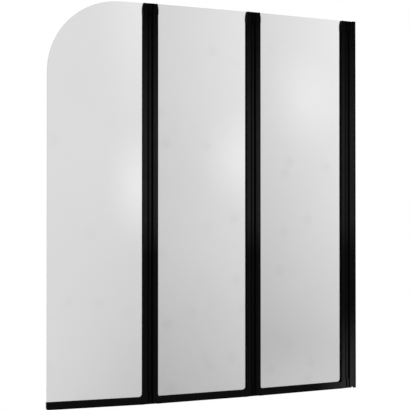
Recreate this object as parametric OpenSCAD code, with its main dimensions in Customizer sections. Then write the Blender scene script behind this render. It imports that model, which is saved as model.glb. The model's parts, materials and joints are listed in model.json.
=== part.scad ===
// Folding bath screen with three glass wings in a slim black frame.
// A channel on the wall carries the inner wing, and each wing carries the next.
// Every hinge line is a link with two upright pivots, so two wings fold flat
// against each other to either side.
// Pieces are drawn with x away from the wall and y to the front. The whole is
// then turned half a turn, so the screen runs along -x from the wall face.

/* [Screen] */
// Height of the glass above the underside of the frame
screen_h = 1400; // [1000:10:1600]
// Distance between the two hinge axes of the inner wing
inner_pitch = 375; // [250:1:500]
// Distance between the two hinge axes of the middle wing
middle_pitch = 367; // [250:1:500]
// Distance from the outer wing's hinge axis to its free glass edge
outer_reach = 345; // [290:1:500]
// Radius of the outer wing's rounded top corner
corner_r = 250; // [50:1:270]
// Angle between the inner and middle wings as shown
inner_angle = 2.7; // [0:0.1:30]
// Angle between the middle and outer wings as shown
outer_angle = 5; // [0:0.1:30]

/* [Glass and gasket] */
// Thickness of the safety glass
glass_t = 5; // [4:0.5:6]
// Rubber between the glass and each side of its groove
gasket_side = 2.5; // [2:0.1:2.5]
// Rubber between the glass and the floor of its groove
gasket_base = 1; // [0.8:0.1:1.5]
// Width of the rubber lip that shows along the frame
gasket_lip = 1; // [0.5:0.1:4]

/* [Upright profiles] */
// Thickness of an upright from front to back
profile_t = 22; // [20:0.5:26]
// Width of an upright's flat face beyond its hinge axis
face_w = 11.5; // [10:0.5:12]
// Wall of the extruded profiles
profile_wall = 1.8; // [1.4:0.1:2]
// Depth of the groove that holds the glass
groove_d = 5; // [4:0.5:5]

/* [End pieces] */
// Height of the end piece on top of an upright
cap_h = 38; // [34:1:60]
// Height over which its glass side curves in
shoulder_h = 26; // [15:1:30]
// How far its glass side curves in
shoulder_in = 4; // [2:0.5:6]
// How much an end piece's nose radius exceeds the upright's
nose_extra = 1; // [0.5:0.1:1.2]
// Length of the spigots that enter the uprights
spigot_l = 20; // [12:1:30]
// Length of the spigots that enter the bottom rail
rail_spigot_l = 15; // [8:1:25]
// Play between a spigot and the chamber round it
spigot_play = 0.2; // [0.1:0.05:0.3]
// Chamfer along the end pieces' outer edges
edge_ease = 1.5; // [0.5:0.1:2]

/* [Bottom rail and seal] */
// Height of the rail's top edge above the underside of the frame
rail_h = 24.5; // [24:0.5:34]
// Thickness of the rail from front to back
rail_t = 20; // [18:0.5:20]
// Inner radius where the rail meets an upright
fillet_r = 11; // [8:0.5:14]
// Straight stretch of a corner piece past that radius
seam_past = 1.5; // [1:0.5:6]
// Height of the soft seal below the rail
seal_h = 3.5; // [3:0.5:4.5]
// Thickness of the seal's web
seal_web = 1.5; // [1:0.1:2]
// Thickness of each of the seal's two fins
fin_t = 2; // [1.5:0.1:3]
// Distance from the rail's faces to the seal's sides
seal_inset = 1.5; // [0:0.5:3]
// Width of the slot that the seal's foot enters
slot_neck = 5; // [4:0.5:6]
// Width of the seal's foot inside the rail
slot_head = 9; // [8:0.5:10]
// Height of the seal's foot inside the rail
slot_head_h = 2.5; // [2:0.1:3]
// Thickness of the plug on the rail's free end
plug_t = 1.2; // [1:0.1:3]

/* [Hinge links] */
// Width of a link bar at its waist
link_waist = 8; // [6.5:0.5:12]
// Thickness of a link bar from front to back
link_t = 6; // [4:0.5:8]
// Width of the web of a link's end piece
web_w = 6; // [5:0.5:6]
// Depth of that web from front to back
web_t = 20; // [14:0.5:20]
// Clearance between a turning nose and its link
nose_gap = 0.3; // [0.2:0.05:0.6]
// Radius of the hinge pins
pin_r = 3; // [2.5:0.1:3]
// Running clearance round a pin
pin_gap = 0.05; // [0.02:0.01:0.09]
// Wall of a hinge bush
bush_wall = 1.5; // [1:0.1:1.5]
// Length of a bush below its flange
bush_l = 18; // [10:1:20]
// Thickness of a bush's flange
flange_t = 1; // [0.8:0.1:1.5]
// Thickness of the plates that hold the pins
plate_t = 4; // [3:0.5:5]
// Metal round a pin in its plate
plate_rim = 2.6; // [2:0.1:2.6]
// Clearance between a plate and the pieces that turn under it
plate_gap = 0.3; // [0.2:0.05:0.5]
// How far the lower plates hang below the frame
plate_drop = 0; // [0:0.5:2]
// How far a pin's end lies inside its plate
pin_sink = 0.5; // [0.2:0.1:1]
// Radius of the peg between a link bar and its end piece
peg_r = 1.5; // [1:0.1:1.8]
// Length of that peg
peg_l = 12; // [6:1:20]

/* [Wall channel] */
// Distance from the wall to the first hinge axis
wall_depth = 19; // [18.5:0.1:40]
// Depth of the channel that is screwed to the wall
channel_d = 12.5; // [12:0.5:13]
// Wall of the channel
channel_wall = 2.5; // [2:0.1:3]
// Gap between the channel's edge and the hinge profile
channel_gap = 0.2; // [0.1:0.1:1]
// Play between the channel and the tongue inside it
tongue_play = 0.3; // [0.2:0.1:0.5]
// Room behind the tongue for the heads of the wall screws
head_room = 4; // [3:0.5:5]
// Distance between neighbouring wall screw holes
hole_pitch = 400; // [150:10:420]
// Radius of the wall screw holes
hole_r = 2.6; // [2:0.1:3.2]
// Width of the soft seal strips against the wall
strip_w = 5.6; // [3:0.1:8]
// Thickness of those strips
strip_t = 1; // [0.6:0.1:1.2]
// Thickness of the cover on the channel's top end
cover_t = 1.5; // [1:0.1:3]
// Length of the cover's tabs inside the channel
tab_l = 8; // [4:1:15]

/* [Screws] */
// Radius of the small screws' threads
screw_r = 1.5; // [1.2:0.1:1.8]
// Length of the small screws
screw_l = 8; // [6:0.5:9]
// Radius of the small screws' countersunk heads
screw_head_r = 2.9; // [2.4:0.1:3]
// Height of those heads
screw_head_h = 1.4; // [1:0.1:1.5]
// Corner radius of the six-sided sockets in the small screws
socket_r = 1.1; // [0.8:0.1:1.2]
// Depth of those sockets
socket_depth = 1.1; // [0.6:0.1:1.5]
// Plastic between a small screw and the flat side of its spigot
screw_edge = 0.5; // [0.3:0.1:1]
// Radius of the adjusting screws' round heads
adjuster_head_r = 3.2; // [2.6:0.1:4]
// Height of those heads
adjuster_head_h = 1.6; // [1:0.1:2]
// Corner radius of the six-sided sockets in the adjusting screws
adjuster_socket_r = 1.6; // [1:0.1:2]
// Depth of those sockets
adjuster_socket_depth = 1; // [0.5:0.1:1.4]
// Distance between the adjusting screws
adjuster_pitch = 500; // [200:10:600]
// Clearance round a screw in the piece that it clamps
screw_gap = 0.2; // [0.1:0.05:0.4]
// Clearance round a screw in the piece that it grips
thread_gap = 0.05; // [0.02:0.01:0.1]

/* [Hidden] */
$fn = 72;
// play of the pieces that are pressed together by hand
snug = 0.05;
// overshoot of cuts, and overlap of joined shapes
eps = 1;
// larger than any section of the frame
far = 60;
// number of straight steps in a quarter turn of a fillet and of the glass corner
fillet_steps = 12;
glass_steps = 48;
shoulder_steps = 10;

nose_r = profile_t / 2;
end_nose_r = nose_r + nose_extra;
groove_w = glass_t + 2 * gasket_side;
groove_x = face_w - groove_d;
groove_z = rail_h - groove_d;
glass_x = groove_x + gasket_base;
glass_z = groove_z + gasket_base;
sight_x = face_w + gasket_lip;
sight_z = rail_h + gasket_lip;
chamber_r = nose_r - profile_wall;
chamber_x = groove_x - profile_wall;

foot_h = rail_h + fillet_r;
foot_x = face_w + fillet_r + seam_past;
cap_z = screen_h - cap_h;

link_pitch = 2 * (nose_r + nose_gap) + link_waist;
plate_r = pin_r + plate_rim;
plate_clear_x = plate_r + plate_gap;
bush_r = pin_r + pin_gap + bush_wall;
top_drop = plate_t + plate_gap + flange_t;
foot_drop = plate_t - plate_drop + plate_gap + flange_t;
bar_z0 = foot_h + nose_gap;
bar_z1 = cap_z - nose_gap;

slot_z = seal_h + profile_wall;
rail_chamber_z0 = slot_z + slot_head_h + profile_wall;
rail_chamber_z1 = groove_z - profile_wall;
rail_chamber_y = rail_t / 2 - profile_wall;

// the wall leaf is drawn from its hinge axis with x towards the wall
leaf_body_x = wall_depth - channel_d - channel_gap;
tongue_x = wall_depth - channel_wall - head_room;
tongue_y = nose_r - channel_wall - tongue_play;
hole_rows = [-1.5, -0.5, 0.5, 1.5];
adjuster_rows = [-1, 0, 1];
screw_x = chamber_x - spigot_play - screw_edge - screw_r;

black = "#1b1c1e";
plastic = "#141416";
rubber = "#0b0b0c";
steel = "#8d9094";
pane = [0.78, 0.80, 0.81, 0.55];

// Places of the bodies

module in_row() rotate([0, 0, 180]) children();

module at_wall_link() in_row() translate([wall_depth, 0, 0]) children();

module at_inner() at_wall_link() translate([link_pitch, 0, 0]) children();

module at_middle_link() at_inner() next(inner_pitch, inner_angle / 2) children();

module at_middle() at_middle_link() next(link_pitch, inner_angle / 2) children();

module at_outer_link() at_middle() next(middle_pitch, outer_angle / 2) children();

module at_outer() at_outer_link() next(link_pitch, outer_angle / 2) children();

// the wall leaf's own frame: hinge axis at the origin, x towards the wall
module at_leaf() at_wall_link() mirror([1, 0, 0]) children();

// the next hinge axis along the screen, turned back by an angle
module next(pitch, angle) translate([pitch, 0, 0]) rotate([0, 0, -angle]) children();

// the far side of a wing is its near side seen in a mirror
module far_side(pitch) translate([pitch, 0, 0]) mirror([1, 0, 0]) children();

module both_sides(pitch) {
    children();
    far_side(pitch) children();
}

// Helpers

// points on an arc round [x, z], from angle a0 to a1
function arc(x, z, r, a0, a1, steps) =
    [for (i = [0 : steps]) let (a = a0 + (a1 - a0) * i / steps) [x + r * cos(a), z + r * sin(a)]];

// an outline in x and z, given thickness from front to back
module slab(t) rotate([90, 0, 0]) translate([0, 0, -t / 2]) linear_extrude(height = t) children();

// an outline in y and z, run along x
module along_x(x0, x1) {
    translate([x0, 0, 0]) rotate([90, 0, 90]) linear_extrude(height = x1 - x0) children();
}

module rise(z0, z1) translate([0, 0, z0]) linear_extrude(height = z1 - z0) children();

// Sections of the uprights, with the hinge axis at the origin

// round nose on the link side, flat faces on the other side
module nose_outline(r, reach) {
    intersection() {
        circle(r = r);
        translate([-r, -profile_t / 2]) square([r + reach, profile_t]);
    }
    translate([0, -profile_t / 2]) square([reach, profile_t]);
}

module chamber_outline(play) {
    intersection() {
        circle(r = chamber_r - play);
        translate([-far, -far]) square([far + chamber_x - play, 2 * far]);
    }
}

module upright_outline() {
    difference() {
        nose_outline(nose_r, face_w);
        chamber_outline(0);
        translate([groove_x, -groove_w / 2]) square([groove_d + eps, groove_w]);
    }
}

// Screws

// drives from the back towards the front
module countersunk_screw() {
    rotate([-90, 0, 0]) {
        difference() {
            union() {
                cylinder(r1 = screw_head_r, r2 = screw_r, h = screw_head_h);
                cylinder(r = screw_r, h = screw_l);
            }
            translate([0, 0, -eps]) cylinder(r = socket_r, h = socket_depth + eps, $fn = 6);
        }
    }
}

module countersunk_hole() {
    rotate([-90, 0, 0]) {
        cylinder(r1 = screw_head_r + screw_gap, r2 = screw_r + screw_gap, h = screw_head_h);
        translate([0, 0, -eps]) cylinder(r = screw_r + screw_gap, h = profile_wall + 2 * eps);
    }
}

module thread_hole() rotate([-90, 0, 0]) cylinder(r = screw_r + thread_gap, h = screw_l + eps);

// one screw into each of an upright's two spigots
module at_upright_screws() {
    for (z = [foot_h + spigot_l / 2, cap_z - spigot_l / 2])
        translate([screw_x, -profile_t / 2, z]) children();
}

module upright_screws() at_upright_screws() countersunk_screw();

// Uprights, end pieces and bushes, with the hinge axis at the origin

module upright() {
    difference() {
        rise(foot_h, cap_z) upright_outline();
        at_upright_screws() countersunk_hole();
    }
}

module spigot(z0, z1) rise(z0, z1) chamber_outline(spigot_play);

module bush_seat(z0, z1) translate([0, 0, z0]) cylinder(r = bush_r + snug, h = z1 - z0);

module top_bush() {
    difference() {
        union() {
            translate([0, 0, screen_h - top_drop - bush_l]) cylinder(r = bush_r, h = bush_l + flange_t / 2);
            translate([0, 0, screen_h - top_drop]) cylinder(r = plate_r, h = flange_t);
        }
        translate([0, 0, screen_h - top_drop - bush_l - eps])
            cylinder(r = pin_r + pin_gap, h = bush_l + flange_t + 2 * eps);
    }
}

module foot_bush() {
    difference() {
        union() {
            translate([0, 0, foot_drop - flange_t / 2]) cylinder(r = bush_r, h = bush_l + flange_t / 2);
            translate([0, 0, foot_drop - flange_t]) cylinder(r = plate_r, h = flange_t);
        }
        translate([0, 0, foot_drop - flange_t - eps])
            cylinder(r = pin_r + pin_gap, h = bush_l + flange_t + 2 * eps);
    }
}

module bush_pair() {
    top_bush();
    foot_bush();
}

// outline in x and z of an upper end piece, with its glass side curving in
module shoulder_outline() {
    r = (shoulder_h * shoulder_h + shoulder_in * shoulder_in) / (2 * shoulder_in);
    polygon(concat(
        [[-far, cap_z - eps], [sight_x, cap_z - eps]],
        arc(sight_x - r, screen_h - shoulder_h, r, 0, asin(shoulder_h / r), shoulder_steps),
        [[-far, screen_h]]
    ));
}

// outlines in y and z of the end pieces, with the front and back edges chamfered
module eased_top_outline() {
    y = profile_t / 2;
    z = screen_h - edge_ease;
    polygon([[-y, 0], [y, 0], [y, z], [y - edge_ease, screen_h], [edge_ease - y, screen_h], [-y, z]]);
}

module eased_foot_outline() {
    y = profile_t / 2;
    z = edge_ease;
    polygon([[edge_ease - y, 0], [y - edge_ease, 0], [y, z], [y, screen_h], [-y, screen_h], [-y, z]]);
}

module top_cap() {
    slot_t = glass_t + 2 * snug;
    difference() {
        union() {
            intersection() {
                rise(cap_z, screen_h) nose_outline(end_nose_r, sight_x);
                slab(2 * profile_t) shoulder_outline();
                along_x(-far, far) eased_top_outline();
            }
            spigot(cap_z - spigot_l, cap_z + eps);
        }
        // room for the link's plate and the bush's flange
        translate([-far, -far, screen_h - top_drop]) cube([far + plate_clear_x, 2 * far, far]);
        bush_seat(screen_h - top_drop - bush_l - eps, screen_h);
        translate([glass_x - snug, -slot_t / 2, cap_z - eps]) cube([far, slot_t, cap_h + 2 * eps]);
        at_upright_screws() thread_hole();
    }
}

// outline in x and z of a lower corner piece
module corner_outline() {
    polygon(concat(
        [[0, 0], [foot_x, 0], [foot_x, rail_h]],
        arc(face_w + fillet_r, foot_h, fillet_r, 270, 180, fillet_steps),
        [[0, foot_h]]
    ));
}

module corner_piece() {
    difference() {
        union() {
            intersection() {
                union() {
                    rise(0, foot_h) nose_outline(end_nose_r, face_w);
                    slab(profile_t) corner_outline();
                }
                along_x(-far, far) eased_foot_outline();
            }
            spigot(foot_h - eps, foot_h + spigot_l);
            along_x(foot_x - eps, foot_x + rail_spigot_l) rail_chamber_outline(spigot_play);
        }
        // room for the link's plate and the bush's flange
        translate([-far, -far, -eps]) cube([far + plate_clear_x, 2 * far, foot_drop + eps]);
        bush_seat(0, foot_drop + bush_l + eps);
        translate([groove_x, -groove_w / 2, groove_z]) cube([far, groove_w, far]);
        at_upright_screws() thread_hole();
    }
}

// Glass and gaskets

module wing_glass(pitch) {
    slab(glass_t) translate([glass_x, glass_z]) square([pitch - 2 * glass_x, screen_h - glass_z]);
}

module outer_wing_glass() {
    slab(glass_t) polygon(concat(
        [[glass_x, glass_z], [outer_reach, glass_z]],
        arc(outer_reach - corner_r, screen_h - corner_r, corner_r, 0, 90, glass_steps),
        [[glass_x, screen_h]]
    ));
}

// the rubber follows the grooves' floors outside and the sight line inside
module gasket(outer_x, opening_x, glass_end_x) {
    r = fillet_r - gasket_lip;
    near_arc = arc(sight_x + r, sight_z + r, r, 270, 180, fillet_steps);
    far_arc = arc(opening_x - r, sight_z + r, r, 360, 270, fillet_steps);
    far_end = opening_x > outer_x ? [[opening_x, sight_z]] : far_arc;
    difference() {
        slab(groove_w - 2 * snug) difference() {
            translate([groove_x + snug, groove_z + snug])
                square([outer_x - groove_x - 2 * snug, cap_z - groove_z - 2 * snug]);
            polygon(concat([[sight_x, screen_h], [opening_x, screen_h]], far_end, near_arc));
        }
        translate([glass_x, -glass_t / 2, glass_z]) cube([glass_end_x - glass_x, glass_t, screen_h]);
    }
}

module wing_gasket(pitch) gasket(pitch - groove_x, pitch - sight_x, pitch - glass_x);

module outer_wing_gasket() gasket(outer_reach, outer_reach + eps, outer_reach + eps);

// Bottom rail and seal

module rail_chamber_outline(play) {
    translate([play - rail_chamber_y, rail_chamber_z0 + play])
        square([2 * (rail_chamber_y - play), rail_chamber_z1 - rail_chamber_z0 - 2 * play]);
}

module rail_outline() {
    difference() {
        translate([-rail_t / 2, seal_h]) square([rail_t, rail_h - seal_h]);
        translate([-groove_w / 2, groove_z]) square([groove_w, groove_d + eps]);
        rail_chamber_outline(0);
        translate([-slot_neck / 2, seal_h - eps]) square([slot_neck, profile_wall + 2 * eps]);
        translate([-slot_head / 2, slot_z]) square([slot_head, slot_head_h]);
    }
}

module seal_outline() {
    w = rail_t - 2 * seal_inset;
    stem_z = seal_h - seal_web;
    stem_h = slot_z + slot_head_h / 2 - stem_z;
    translate([-w / 2, stem_z]) square([w, seal_web]);
    translate([-w / 2, 0]) square([fin_t, seal_h]);
    translate([w / 2 - fin_t, 0]) square([fin_t, seal_h]);
    translate([snug - slot_neck / 2, stem_z]) square([slot_neck - 2 * snug, stem_h]);
    translate([snug - slot_head / 2, slot_z + snug]) square([slot_head - 2 * snug, slot_head_h - 2 * snug]);
}

module rail_plug() {
    along_x(outer_reach, outer_reach + plug_t)
        translate([-rail_t / 2, seal_h]) square([rail_t, rail_h - seal_h]);
    along_x(outer_reach - rail_spigot_l, outer_reach + plug_t / 2) rail_chamber_outline(spigot_play);
}

// Hinge links, with the axis nearer to the wall at the origin

module link_bar() {
    difference() {
        translate([(link_pitch - link_waist) / 2, -link_t / 2, bar_z0])
            cube([link_waist, link_t, bar_z1 - bar_z0]);
        for (z = [bar_z0 - eps, bar_z1 - peg_l])
            translate([link_pitch / 2, 0, z]) cylinder(r = peg_r + snug, h = peg_l + eps);
    }
}

// hollowed on both sides, to stay clear of the end pieces that turn beside it
module link_web(z0, z1) {
    rise(z0, z1) difference() {
        translate([(link_pitch - web_w) / 2, -web_t / 2]) square([web_w, web_t]);
        for (x = [0, link_pitch]) translate([x, 0]) circle(r = end_nose_r + nose_gap);
    }
}

module pin_plate(z0) {
    difference() {
        rise(z0, z0 + plate_t) {
            circle(r = plate_r);
            translate([0, -plate_r]) square([link_pitch, 2 * plate_r]);
            translate([link_pitch, 0]) circle(r = plate_r);
        }
        for (x = [0, link_pitch])
            translate([x, 0, z0 - eps]) cylinder(r = pin_r + snug, h = plate_t + 2 * eps);
    }
}

module link_top() {
    link_web(bar_z1, screen_h - plate_t + eps);
    pin_plate(screen_h - plate_t);
    translate([link_pitch / 2, 0, bar_z1 - peg_l + eps]) cylinder(r = peg_r, h = peg_l);
}

module link_foot() {
    link_web(plate_t - plate_drop - eps, bar_z0);
    pin_plate(-plate_drop);
    translate([link_pitch / 2, 0, bar_z0 - eps]) cylinder(r = peg_r, h = peg_l);
}

module link_pins() {
    for (x = [0, link_pitch]) {
        translate([x, 0, screen_h - top_drop - bush_l])
            cylinder(r = pin_r, h = top_drop + bush_l - pin_sink);
        translate([x, 0, pin_sink - plate_drop])
            cylinder(r = pin_r, h = foot_drop + bush_l + plate_drop - pin_sink);
    }
}

// Wall side, with the wall face at x = 0

module at_wall_holes() {
    for (row = hole_rows) translate([0, 0, screen_h / 2 + row * hole_pitch]) children();
}

// from the back, through the channel's side into the tongue
module at_adjusters() {
    x = (channel_d + channel_wall + head_room) / 2;
    for (row = adjuster_rows)
        translate([x, -profile_t / 2, screen_h / 2 + row * adjuster_pitch]) children();
}

module channel() {
    difference() {
        translate([0, -profile_t / 2, 0]) cube([channel_d, profile_t, screen_h - cover_t]);
        translate([channel_wall, channel_wall - profile_t / 2, -eps])
            cube([channel_d, profile_t - 2 * channel_wall, screen_h + 2 * eps]);
        for (side = [-1, 1])
            translate([-eps, side * profile_t / 2 - (side + 1) / 2 * strip_t - (1 - side) / 2 * eps, -eps])
                cube([strip_w + eps, strip_t + eps, screen_h + 2 * eps]);
        at_wall_holes() translate([-eps, 0, 0]) rotate([0, 90, 0])
            cylinder(r = hole_r, h = channel_wall + 2 * eps);
        at_adjusters() translate([0, -eps, 0]) rotate([-90, 0, 0])
            cylinder(r = screw_r + screw_gap, h = channel_wall + 2 * eps);
    }
}

module cover() {
    inside = profile_t - 2 * channel_wall - 2 * spigot_play;
    translate([0, -profile_t / 2, screen_h - cover_t]) cube([channel_d, profile_t, cover_t]);
    translate([channel_wall + spigot_play, -inside / 2, screen_h - cover_t - tab_l])
        cube([cover_t, inside, tab_l + cover_t / 2]);
}

module strips() {
    for (side = [-1, 1])
        translate([0, side * (profile_t / 2 - strip_t / 2) - strip_t / 2, 0])
            cube([strip_w - snug, strip_t, screen_h - cover_t]);
}

module leaf_outline(nose) {
    nose_outline(nose, leaf_body_x);
    translate([0, -tongue_y]) square([tongue_x, 2 * tongue_y]);
}

module leaf() {
    difference() {
        rise(foot_h, cap_z) difference() {
            leaf_outline(nose_r);
            chamber_outline(0);
            translate([leaf_body_x, profile_wall - tongue_y])
                square([tongue_x - leaf_body_x - profile_wall, 2 * (tongue_y - profile_wall)]);
        }
        at_upright_screws() countersunk_hole();
        far_side(wall_depth) at_adjusters() thread_hole();
    }
}

module leaf_top_cap() {
    difference() {
        union() {
            rise(cap_z, screen_h - top_drop) leaf_outline(end_nose_r);
            spigot(cap_z - spigot_l, cap_z + eps);
        }
        bush_seat(screen_h - top_drop - bush_l - eps, screen_h);
        at_upright_screws() thread_hole();
    }
}

module leaf_foot_cap() {
    difference() {
        union() {
            rise(foot_drop, foot_h) leaf_outline(end_nose_r);
            spigot(foot_h - eps, foot_h + spigot_l);
        }
        bush_seat(0, foot_drop + bush_l + eps);
        at_upright_screws() thread_hole();
    }
}

module adjuster() {
    rotate([-90, 0, 0]) {
        difference() {
            translate([0, 0, -adjuster_head_h]) cylinder(r = adjuster_head_r, h = adjuster_head_h);
            translate([0, 0, -adjuster_head_h - eps])
                cylinder(r = adjuster_socket_r, h = adjuster_socket_depth + eps, $fn = 6);
        }
        cylinder(r = screw_r, h = screw_l);
    }
}

// The nodes

module wall_channel() color(black) in_row() channel();
module channel_cover() color(plastic) in_row() cover();
module wall_strips() color(rubber) in_row() strips();
module wall_leaf() color(black) at_leaf() leaf();
module wall_top_cap() color(plastic) at_leaf() leaf_top_cap();
module wall_foot_cap() color(plastic) at_leaf() leaf_foot_cap();
module wall_bushes() color(plastic) at_leaf() bush_pair();
module adjusting_screws() color(steel) in_row() at_adjusters() adjuster();
module wall_leaf_screws() color(black) at_leaf() upright_screws();

module wall_link_bar() color(black) at_wall_link() link_bar();
module wall_link_top() color(plastic) at_wall_link() link_top();
module wall_link_foot() color(plastic) at_wall_link() link_foot();
module wall_link_pins() color(steel) at_wall_link() link_pins();

module inner_glass() color(pane) at_inner() wing_glass(inner_pitch);
module inner_near_upright() color(black) at_inner() upright();
module inner_far_upright() color(black) at_inner() far_side(inner_pitch) upright();
module inner_gasket() color(rubber) at_inner() wing_gasket(inner_pitch);
module inner_rail() color(black) at_inner() along_x(foot_x, inner_pitch - foot_x) rail_outline();
module inner_seal() color(rubber) at_inner() along_x(foot_x, inner_pitch - foot_x) seal_outline();
module inner_near_corner() color(plastic) at_inner() corner_piece();
module inner_far_corner() color(plastic) at_inner() far_side(inner_pitch) corner_piece();
module inner_near_cap() color(plastic) at_inner() top_cap();
module inner_far_cap() color(plastic) at_inner() far_side(inner_pitch) top_cap();
module inner_bushes() color(plastic) at_inner() both_sides(inner_pitch) bush_pair();
module inner_screws() color(black) at_inner() both_sides(inner_pitch) upright_screws();

module middle_link_bar() color(black) at_middle_link() link_bar();
module middle_link_top() color(plastic) at_middle_link() link_top();
module middle_link_foot() color(plastic) at_middle_link() link_foot();
module middle_link_pins() color(steel) at_middle_link() link_pins();

module middle_glass() color(pane) at_middle() wing_glass(middle_pitch);
module middle_near_upright() color(black) at_middle() upright();
module middle_far_upright() color(black) at_middle() far_side(middle_pitch) upright();
module middle_gasket() color(rubber) at_middle() wing_gasket(middle_pitch);
module middle_rail() color(black) at_middle() along_x(foot_x, middle_pitch - foot_x) rail_outline();
module middle_seal() color(rubber) at_middle() along_x(foot_x, middle_pitch - foot_x) seal_outline();
module middle_near_corner() color(plastic) at_middle() corner_piece();
module middle_far_corner() color(plastic) at_middle() far_side(middle_pitch) corner_piece();
module middle_near_cap() color(plastic) at_middle() top_cap();
module middle_far_cap() color(plastic) at_middle() far_side(middle_pitch) top_cap();
module middle_bushes() color(plastic) at_middle() both_sides(middle_pitch) bush_pair();
module middle_screws() color(black) at_middle() both_sides(middle_pitch) upright_screws();

module outer_link_bar() color(black) at_outer_link() link_bar();
module outer_link_top() color(plastic) at_outer_link() link_top();
module outer_link_foot() color(plastic) at_outer_link() link_foot();
module outer_link_pins() color(steel) at_outer_link() link_pins();

module outer_glass() color(pane) at_outer() outer_wing_glass();
module outer_upright() color(black) at_outer() upright();
module outer_gasket() color(rubber) at_outer() outer_wing_gasket();
module outer_rail() color(black) at_outer() along_x(foot_x, outer_reach) rail_outline();
module outer_seal() color(rubber) at_outer() along_x(foot_x, outer_reach) seal_outline();
module outer_corner() color(plastic) at_outer() corner_piece();
module outer_cap() color(plastic) at_outer() top_cap();
module outer_rail_plug() color(plastic) at_outer() rail_plug();
module outer_bushes() color(plastic) at_outer() bush_pair();
module outer_screws() color(black) at_outer() upright_screws();

wall_channel();
channel_cover();
wall_strips();
wall_leaf();
wall_top_cap();
wall_foot_cap();
wall_bushes();
adjusting_screws();
wall_leaf_screws();
wall_link_bar();
wall_link_top();
wall_link_foot();
wall_link_pins();
inner_glass();
inner_near_upright();
inner_far_upright();
inner_gasket();
inner_rail();
inner_seal();
inner_near_corner();
inner_far_corner();
inner_near_cap();
inner_far_cap();
inner_bushes();
inner_screws();
middle_link_bar();
middle_link_top();
middle_link_foot();
middle_link_pins();
middle_glass();
middle_near_upright();
middle_far_upright();
middle_gasket();
middle_rail();
middle_seal();
middle_near_corner();
middle_far_corner();
middle_near_cap();
middle_far_cap();
middle_bushes();
middle_screws();
outer_link_bar();
outer_link_top();
outer_link_foot();
outer_link_pins();
outer_glass();
outer_upright();
outer_gasket();
outer_rail();
outer_seal();
outer_corner();
outer_cap();
outer_rail_plug();
outer_bushes();
outer_screws();
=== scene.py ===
import json
import math

import bpy
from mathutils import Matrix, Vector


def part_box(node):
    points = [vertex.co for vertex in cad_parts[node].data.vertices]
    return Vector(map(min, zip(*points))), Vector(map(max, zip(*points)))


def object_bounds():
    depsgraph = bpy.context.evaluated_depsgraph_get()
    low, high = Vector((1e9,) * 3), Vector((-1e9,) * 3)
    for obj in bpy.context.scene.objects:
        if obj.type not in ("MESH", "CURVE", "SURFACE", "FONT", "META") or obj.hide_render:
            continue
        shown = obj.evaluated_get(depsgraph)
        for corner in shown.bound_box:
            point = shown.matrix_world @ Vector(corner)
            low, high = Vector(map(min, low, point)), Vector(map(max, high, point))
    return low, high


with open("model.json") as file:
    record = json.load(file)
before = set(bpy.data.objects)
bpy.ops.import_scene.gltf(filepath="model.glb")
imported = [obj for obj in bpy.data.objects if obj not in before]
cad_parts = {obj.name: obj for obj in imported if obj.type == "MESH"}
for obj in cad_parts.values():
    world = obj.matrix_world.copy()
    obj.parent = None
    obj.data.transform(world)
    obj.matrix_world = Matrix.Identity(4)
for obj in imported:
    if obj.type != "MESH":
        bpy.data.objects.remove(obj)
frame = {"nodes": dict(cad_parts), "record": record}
cad_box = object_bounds()

# The photograph's camera: in front of the free end and tipped up a little, in metres and degrees
IMAGE_PX = 410
FOCAL_PX = 1005.4
SENSOR_MM = 36
CAMERA_AT = (-2.1678, -3.2417, 0.6639)
CAMERA_YAW = 25.338
CAMERA_PITCH = 0.494

# The floor, and how far from the object it starts and ends to turn white
FLOOR_Z = -0.60
FLOOR_SIZE = 16.0
FLOOR_GREY = (0.88, 0.88, 0.88)
FLOOR_PALE = (0.92, 0.92, 0.92)
FLOOR_CLOUD_SCALE = 2.0
FLOOR_ROUGHNESS = 0.8
FLOOR_GLOSS = 0.1
WHITE_FLOOR = (1.2, 2.5)

# The light: the world's level on surfaces and its level as a white backdrop, and two soft boxes
WORLD_LEVEL = 0.56
BACKDROP_LEVEL = 1
KEY_AT = (-1.8, -3.2, 3.4)
KEY_SIZE = 1.8
KEY_WATTS = 80
FILL_AT = (1.6, 3.9, 1.9)
FILL_SIZE = 2.4
FILL_WATTS = 55

# Most of a noise's values lie between these, and every bump has one depth in metres
NOISE_LOW = 0.3
NOISE_HIGH = 0.7
BUMP_DEPTH = 0.0001

# The frame's two blacks in linear light, each between its darkest, painted shade, and its fullest, painted
# light
COAT_SHADED = (0.0006, 0.0006, 0.0007)
COAT_LIT = (0.0300, 0.0300, 0.0306)
PLASTIC_SHADED = (0.0004, 0.0004, 0.0005)
PLASTIC_LIT = (0.0370, 0.0370, 0.0376)
BLACK_GLOSS = 0.015

# Painted light and shade by where a face looks: full on front and back, leaned aside, a share on sides and
# ends, and painted shade where a face curves between them
FACE_LEAN = math.radians(12)
FACE_FADE = (0.88, 0.97)
SHARE_ON_SIDES = 0.70
SIDE_FADE = (0.97, 0.99)

# Painted light by place: a share by its height in metres, a painted sheen fullest around the middle with
# painted shade above and below it, and all of it, a painted highlight, at the wall's foot
SHARE_AT_TOP = 0.06
SHARE_AT_MIDDLE = 0.50
SHARE_BELOW = 0.12
TOP_FADE = (1.36, 0.95)
LOW_FADE = (0.52, 0.64)
WALL_FOOT_HIGHLIGHT = (0.0, 0.0)
WALL_FOOT_HIGHLIGHT_SIZE = (0.22, 0.40)

# Noise that varies a value has a scale, the lowest and highest value and sometimes a detail;
# a grain has a scale, a detail and a strength
COAT_CLOUD = (35, 0.85, 1.0)
COAT_ROUGHNESS = (9, 0.46, 0.60)
COAT_GRAIN = (1600, 3, 0.22)
PLASTIC_MOTTLE = (260, 0.6, 1.0, 4)
PLASTIC_ROUGHNESS = (60, 0.36, 0.52)
PLASTIC_GRAIN = (2200, 2, 0.30)

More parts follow.
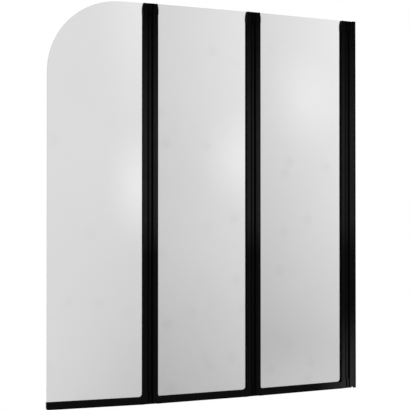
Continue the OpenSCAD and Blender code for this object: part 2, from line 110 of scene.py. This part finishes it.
# Rubber: its draw lines are noise of a scale and a detail, stretched along the height
RUBBER_DARK = (0.0010, 0.0010, 0.0011)
RUBBER_PALE = (0.0030, 0.0030, 0.0032)
RUBBER_GLOSS = 0.04
RUBBER_LINES = (14, 3)
RUBBER_STRETCH = (60, 60, 1)
RUBBER_ROUGHNESS = (0.75, 0.9)
RUBBER_GRAIN = (1200, 2, 0.2)

# Steel of the pins, with the lathe's rings
STEEL_DARK = (0.40, 0.41, 0.42)
STEEL_PALE = (0.52, 0.53, 0.54)
STEEL_CLOUD_SCALE = 120
RING_SCALE = 420
RING_DISTORTION = 1.2
RING_ROUGHNESS = (0.24, 0.38)
RING_STRENGTH = 0.15

# Nylon of the bushes
BUSH_DARK = (0.020, 0.020, 0.022)
BUSH_PALE = (0.034, 0.034, 0.036)
BUSH_GLOSS = 0.3
BUSH_MOTTLE = (300, 0, 1)
BUSH_ROUGHNESS = (140, 0.38, 0.5)

# Blackened screws: the wear is noise of a scale and a detail, and shows between two of its values
OXIDE_DARK = (0.016, 0.016, 0.017)
OXIDE_WORN = (0.055, 0.055, 0.056)
OXIDE_METAL = 0.7
OXIDE_WEAR = (700, 4)
OXIDE_WEAR_FADE = (0.45, 0.75)
OXIDE_WEAR_STRENGTH = 0.1
OXIDE_ROUGHNESS = (400, 0.34, 0.5)

# The glass: how deep a patch of painted light reaches through it, its spots' scale, radius and amount, and
# its cloudiness
GLASS_IOR = 1.5
PATCH_DEPTH = 10
GLASS_SPOTS = (8.0, 0.036, -0.028)
GLASS_CLOUD_SCALE = 3.5
GLASS_CLOUD = 0.006

# Each pane: its levels at the left and right of its top and foot, a light grey tint with painted shade
# darker towards the foot, the power by which they fall from one to the other, and painted reflections as
# light patches, each with its place and size in the object's x and z, and its amount
PANE_TINT_AND_PAINTED_LIGHT = {
    "outer_glass": {
        "name": "outer_pane",
        "top": (0.704, 0.711),
        "foot": (0.646, 0.523),
        "shade_fall": 2.37,
        "painted_reflections": (
            ((-0.859, 0.769), (0.159, 0.257), 0.123),
            ((-0.859, 1.400), (0.205, 0.577), 0.069),
        ),
    },
    "middle_glass": {
        "name": "middle_pane",
        "top": (0.640, 0.762),
        "foot": (0.417, 0.521),
        "shade_fall": 1.79,
        "painted_reflections": (
            ((-0.463, 0.861), (0.232, 0.230), 0.098),
            ((-0.762, 0.534), (0.600, 0.288), 0.021),
        ),
    },
    "inner_glass": {
        "name": "inner_pane",
        "top": (0.669, 0.815),
        "foot": (0.387, 0.502),
        "shade_fall": 1.69,
        "painted_reflections": (
            ((-0.219, 1.096), (0.205, 0.240), 0.077),
            ((-0.327, 0.000), (0.600, 0.218), 0.092),
        ),
    },
}


# Nodes of one material, joined by name

class Shader:
    def __init__(self, name):
        self.material = bpy.data.materials.new(name)
        self.material.use_nodes = True
        self.tree = self.material.node_tree
        self.tree.nodes.clear()
        self.surface = self.add("ShaderNodeBsdfPrincipled")
        self.output = self.add("ShaderNodeOutputMaterial")
        self.join(self.surface.outputs["BSDF"], self.output.inputs["Surface"])
        self.coordinates = self.add("ShaderNodeTexCoord")
        self.place = self.coordinates.outputs["Object"]

    def add(self, kind, **settings):
        node = self.tree.nodes.new(kind)
        for name, value in settings.items():
            setattr(node, name, value)
        return node

    def join(self, source, target):
        self.tree.links.new(source, target)

    def feed(self, socket, value):
        """Sets a socket to a number, or joins another node's output to it."""
        if isinstance(value, (int, float)):
            socket.default_value = value
        else:
            self.join(value, socket)

    def constants(self, **values):
        """Sets the surface's own sockets, named with underscores for spaces."""
        for name, value in values.items():
            self.surface.inputs[name.replace("_", " ")].default_value = value

    def maths(self, operation, first, second):
        node = self.add("ShaderNodeMath", operation=operation)
        for socket, value in zip(node.inputs, (first, second)):
            self.feed(socket, value)
        return node.outputs["Value"]

    def spread(self, source, low, high, start=NOISE_LOW, end=NOISE_HIGH, kind="LINEAR"):
        """Values from low to high as the source goes from start to end."""
        ramp = self.add("ShaderNodeMapRange", interpolation_type=kind)
        for name, value in zip(("From Min", "From Max", "To Min", "To Max"), (start, end, low, high)):
            self.feed(ramp.inputs[name], value)
        self.join(source, ramp.inputs["Value"])
        return ramp.outputs["Result"]

    def stretched(self, x, y, z):
        mapping = self.add("ShaderNodeMapping")
        mapping.inputs["Scale"].default_value = (x, y, z)
        self.join(self.place, mapping.inputs["Vector"])
        return mapping.outputs["Vector"]

    def noise(self, scale, detail=2, place=None):
        texture = self.add("ShaderNodeTexNoise")
        texture.inputs["Scale"].default_value = scale
        texture.inputs["Detail"].default_value = detail
        self.join(place or self.place, texture.inputs["Vector"])
        return texture.outputs["Fac"]

    def varied(self, scale, low, high, detail=2):
        """Values from low to high, strewn by noise."""
        return self.spread(self.noise(scale, detail), low, high)

    def axes(self):
        """The place along x, y and z, by the names X, Y and Z."""
        parts = self.add("ShaderNodeSeparateXYZ")
        self.join(self.place, parts.inputs["Vector"])
        return parts.outputs

    def distance(self, point):
        away = self.add("ShaderNodeVectorMath", operation="DISTANCE")
        self.join(self.place, away.inputs[0])
        away.inputs[1].default_value = point
        return away.outputs["Value"]

    def painted_light_patch(self, at, size, amount):
        """A soft oval of painted light at a place in the object's x and z, with the amount in its middle.
        """
        place = self.add("ShaderNodeMapping", vector_type="TEXTURE")
        place.inputs["Location"].default_value = (at[0], 0, at[1])
        place.inputs["Scale"].default_value = (size[0], PATCH_DEPTH, size[1])
        self.join(self.place, place.inputs["Vector"])
        sphere = self.add("ShaderNodeTexGradient", gradient_type="SPHERICAL")
        self.join(place.outputs["Vector"], sphere.inputs["Vector"])
        return self.spread(sphere.outputs["Fac"], 0, amount, 0, 1, "SMOOTHSTEP")

    def spots(self, scale, radius, amount):
        """Soft round spots strewn over the object, with the amount in their middles."""
        cells = self.add("ShaderNodeTexVoronoi")
        cells.inputs["Scale"].default_value = scale
        self.join(self.place, cells.inputs["Vector"])
        return self.spread(cells.outputs["Distance"], amount, 0, 0, scale * radius, "SMOOTHSTEP")

    def faces_along(self, direction, share, fade):
        """The share on faces that look along a direction or against it, 0 on faces turned away from it."""
        facing = self.add("ShaderNodeVectorMath", operation="DOT_PRODUCT")
        self.join(self.coordinates.outputs["Normal"], facing.inputs[0])
        facing.inputs[1].default_value = direction
        return self.spread(self.maths("ABSOLUTE", facing.outputs["Value"], 0), 0, share, *fade)

    def painted_light_by_face(self):
        """Painted light, 1, on front and back faces, a share on sides and ends, and painted shade, 0,
        where a face curves between them.
        """
        # Painted light on front and back faces, painted shade on the curves between them
        front = self.faces_along((math.sin(FACE_LEAN), math.cos(FACE_LEAN), 0), 1, FACE_FADE)
        side = self.faces_along((1, 0, 0), SHARE_ON_SIDES, SIDE_FADE)
        end = self.faces_along((0, 0, 1), SHARE_ON_SIDES, SIDE_FADE)
        return self.maths("MAXIMUM", front, self.maths("MAXIMUM", side, end))

    def painted_light_by_place(self):
        """Painted light: all of it as a painted highlight at the wall's foot, a painted sheen around the
        middle of the height, and painted shade above and below.
        """
        height = self.axes()["Z"]
        upper = self.spread(height, SHARE_AT_TOP, SHARE_AT_MIDDLE, *TOP_FADE)
        lower = self.spread(height, SHARE_BELOW, SHARE_AT_MIDDLE, *LOW_FADE)
        painted_light_by_height = self.maths("MINIMUM", upper, lower)
        # A painted highlight at the wall's foot
        return self.maths("MAXIMUM", painted_light_by_height, self.painted_light_patch(WALL_FOOT_HIGHLIGHT, WALL_FOOT_HIGHLIGHT_SIZE, 1))

    def painted_light_and_tone(self, strewn):
        """Painted light and shade on a black, by its face and its place, times tone strewn at random over
        it.
        """
        return self.maths("MULTIPLY", self.maths("MULTIPLY", self.painted_light_by_face(), self.painted_light_by_place()), strewn)

    def colour(self, share, first, second):
        """Colours the surface between two colours, the second where the share is 1."""
        mix = self.add("ShaderNodeMix", data_type="RGBA")
        mix.inputs["A"].default_value = (*first, 1)
        mix.inputs["B"].default_value = (*second, 1)
        self.join(share, mix.inputs["Factor"])
        self.join(mix.outputs["Result"], self.surface.inputs["Base Color"])

    def roughness(self, value):
        self.join(value, self.surface.inputs["Roughness"])

    def bump(self, height, strength):
        node = self.add("ShaderNodeBump")
        node.inputs["Strength"].default_value = strength
        node.inputs["Distance"].default_value = BUMP_DEPTH
        self.join(height, node.inputs["Height"])
        self.join(node.outputs["Normal"], self.surface.inputs["Normal"])

    def grain(self, scale, detail, strength):
        self.bump(self.noise(scale, detail), strength)


# Finishes

def powder_coat():
    """Matt black coat with a fine grain, on extruded aluminium, its colour painted with light and shade.
    """
    s = Shader("powder_coat")
    s.constants(Specular_IOR_Level=BLACK_GLOSS)
    # Colour from painted shade to painted light, by face and place, with random tone
    s.colour(s.painted_light_and_tone(s.varied(*COAT_CLOUD)), COAT_SHADED, COAT_LIT)
    s.roughness(s.varied(*COAT_ROUGHNESS))
    s.grain(*COAT_GRAIN)
    return s.material


def moulded_plastic():
    """Black moulded plastic of the end pieces and corners, finely mottled, its colour painted with light
    and shade.
    """
    s = Shader("moulded_plastic")
    s.constants(Specular_IOR_Level=BLACK_GLOSS)
    # Colour from painted shade to painted light, by face and place, with random tone
    s.colour(s.painted_light_and_tone(s.varied(*PLASTIC_MOTTLE)), PLASTIC_SHADED, PLASTIC_LIT)
    s.roughness(s.varied(*PLASTIC_ROUGHNESS))
    s.grain(*PLASTIC_GRAIN)
    return s.material


def soft_rubber():
    """Dead black rubber with faint draw lines along its length."""
    s = Shader("soft_rubber")
    s.constants(Specular_IOR_Level=RUBBER_GLOSS)
    lines = s.noise(*RUBBER_LINES, s.stretched(*RUBBER_STRETCH))
    s.colour(s.spread(lines, 0, 1), RUBBER_DARK, RUBBER_PALE)
    s.roughness(s.spread(lines, *RUBBER_ROUGHNESS))
    s.grain(*RUBBER_GRAIN)
    return s.material


def turned_steel():
    """Hinge pins, with the rings that a lathe leaves."""
    s = Shader("turned_steel")
    s.constants(Metallic=1)
    wave = s.add("ShaderNodeTexWave", wave_type="BANDS", bands_direction="Z")
    wave.inputs["Scale"].default_value = RING_SCALE
    wave.inputs["Distortion"].default_value = RING_DISTORTION
    s.join(s.place, wave.inputs["Vector"])
    rings = wave.outputs["Fac"]
    s.colour(s.noise(STEEL_CLOUD_SCALE), STEEL_DARK, STEEL_PALE)
    s.roughness(s.spread(rings, *RING_ROUGHNESS, 0, 1))
    s.bump(rings, RING_STRENGTH)
    return s.material


def bush_plastic():
    """Smooth dark nylon of the hinge bushes."""
    s = Shader("bush_plastic")
    s.constants(Specular_IOR_Level=BUSH_GLOSS)
    s.colour(s.varied(*BUSH_MOTTLE), BUSH_DARK, BUSH_PALE)
    s.roughness(s.varied(*BUSH_ROUGHNESS))
    return s.material


def black_oxide():
    """Small screws, blackened, with a little bare steel showing through."""
    s = Shader("black_oxide")
    s.constants(Metallic=OXIDE_METAL)
    wear = s.noise(*OXIDE_WEAR)
    s.colour(s.spread(wear, 0, 1, *OXIDE_WEAR_FADE), OXIDE_DARK, OXIDE_WORN)
    s.roughness(s.varied(*OXIDE_ROUGHNESS))
    s.bump(wear, OXIDE_WEAR_STRENGTH)
    return s.material


def safety_glass(pane, name, top, foot, shade_fall, painted_reflections):
    """Light grey glass of one wing, with painted shade darker towards its foot, painted reflections as
    soft light patches, and faint spots.
    """
    s = Shader(name)
    s.constants(Transmission_Weight=1, IOR=GLASS_IOR, Roughness=0)
    low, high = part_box(pane)
    axes = s.axes()
    # Painted shade: the pane's tint darkens from its top towards its foot
    share = s.maths("POWER", s.spread(axes["Z"], 1, 0, low.z, high.z), shade_fall)
    left, right = (s.spread(share, above, below, 0, 1) for above, below in zip(top, foot))
    total = s.spread(axes["X"], left, right, low.x, high.x)
    # Painted reflections as soft light patches, then faint spots and cloudiness
    layers = [s.painted_light_patch(*values) for values in painted_reflections]
    layers.append(s.spots(*GLASS_SPOTS))
    layers.append(s.varied(GLASS_CLOUD_SCALE, -GLASS_CLOUD, GLASS_CLOUD))
    for layer in layers:
        total = s.maths("ADD", total, layer)
    colour = s.add("ShaderNodeCombineColor")
    for channel in ("Red", "Green", "Blue"):
        s.join(total, colour.inputs[channel])
    s.join(colour.outputs["Color"], s.surface.inputs["Base Color"])
    return s.material


def dress_nodes():
    """Gives each CAD node the finish of its slot in the record, and each pane its own glass."""
    finishes = {
        "black_profile": powder_coat(),
        "black_plastic": moulded_plastic(),
        "rubber": soft_rubber(),
        "pin_steel": turned_steel(),
        "bush_plastic": bush_plastic(),
        "black_screws": black_oxide(),
    }
    panes = {pane: safety_glass(pane, **tint_and_light) for pane, tint_and_light in PANE_TINT_AND_PAINTED_LIGHT.items()}
    slot_of = {part["node"]: part["material_slot"] for part in frame["record"]["subparts"]}
    for node, piece in frame["nodes"].items():
        finish = panes.get(node) or finishes[slot_of[node]]
        for slot in piece.material_slots:
            slot.material = finish


# Floor, light and camera

def seen_rays(tree):
    """1 where the camera, a reflection or the glass shows a surface, 0 where it only gives light."""
    path = tree.nodes.new("ShaderNodeLightPath")
    seen = path.outputs["Is Camera Ray"]
    for kind in ("Is Glossy Ray", "Is Transmission Ray"):
        either = tree.nodes.new("ShaderNodeMath")
        either.operation = "MAXIMUM"
        tree.links.new(seen, either.inputs[0])
        tree.links.new(path.outputs[kind], either.inputs[1])
        seen = either.outputs["Value"]
    return seen


def middle_of_object():
    return (cad_box[0] + cad_box[1]) / 2


def floor_finish():
    """Pale grey, turning to white for the camera, reflections and the glass away from the object."""
    s = Shader("studio_floor")
    s.constants(Roughness=FLOOR_ROUGHNESS, Specular_IOR_Level=FLOOR_GLOSS)
    s.colour(s.noise(FLOOR_CLOUD_SCALE), FLOOR_GREY, FLOOR_PALE)
    below = (*middle_of_object().xy, FLOOR_Z)
    far = s.spread(s.distance(below), 0, 1, *WHITE_FLOOR)
    white = s.add("ShaderNodeEmission")
    blend = s.add("ShaderNodeMixShader")
    s.join(s.maths("MULTIPLY", far, seen_rays(s.tree)), blend.inputs["Fac"])
    s.join(s.surface.outputs["BSDF"], blend.inputs[1])
    s.join(white.outputs["Emission"], blend.inputs[2])
    s.join(blend.outputs["Shader"], s.output.inputs["Surface"])
    return s.material


def make_floor():
    half = FLOOR_SIZE / 2
    mesh = bpy.data.meshes.new("studio_floor")
    corners = [(x, y, FLOOR_Z) for x, y in ((-half, -half), (half, -half), (half, half), (-half, half))]
    mesh.from_pydata(corners, [], [(0, 1, 2, 3)])
    mesh.materials.append(floor_finish())
    floor = bpy.data.objects.new("studio_floor", mesh)
    bpy.context.scene.collection.objects.link(floor)


def make_world():
    """Plain soft light on surfaces, and a white backdrop for the camera, reflections and the glass."""
    world = bpy.data.worlds.new("studio")
    world.use_nodes = True
    bpy.context.scene.world = world
    tree = world.node_tree
    tree.nodes.clear()
    level = tree.nodes.new("ShaderNodeMapRange")
    level.inputs["To Min"].default_value = WORLD_LEVEL
    level.inputs["To Max"].default_value = BACKDROP_LEVEL
    tree.links.new(seen_rays(tree), level.inputs["Value"])
    background = tree.nodes.new("ShaderNodeBackground")
    background.inputs["Color"].default_value = (1, 1, 1, 1)
    tree.links.new(level.outputs["Result"], background.inputs["Strength"])
    output = tree.nodes.new("ShaderNodeOutputWorld")
    tree.links.new(background.outputs["Background"], output.inputs["Surface"])


def make_lamp(name, place, size, watts):
    """Square soft box, turned to the middle of the object."""
    light = bpy.data.lights.new(name, "AREA")
    light.shape = "SQUARE"
    light.size = size
    light.energy = watts
    lamp = bpy.data.objects.new(name, light)
    lamp.location = place
    lamp.rotation_euler = (middle_of_object() - lamp.location).to_track_quat("-Z", "Y").to_euler()
    lamp.visible_camera = False
    lamp.visible_transmission = False
    lamp.visible_glossy = False
    bpy.context.scene.collection.objects.link(lamp)


def make_camera():
    data = bpy.data.cameras.new("camera")
    data.sensor_width = SENSOR_MM
    data.lens = SENSOR_MM * FOCAL_PX / IMAGE_PX
    camera = bpy.data.objects.new("camera", data)
    camera.location = CAMERA_AT
    camera.rotation_euler = (math.radians(90 + CAMERA_PITCH), 0, -math.radians(CAMERA_YAW))
    bpy.context.scene.collection.objects.link(camera)
    bpy.context.scene.camera = camera


dress_nodes()
make_floor()
make_world()
make_lamp("key", KEY_AT, KEY_SIZE, KEY_WATTS)
make_lamp("fill", FILL_AT, FILL_SIZE, FILL_WATTS)
make_camera()
bpy.context.scene.view_settings.view_transform = "Standard"
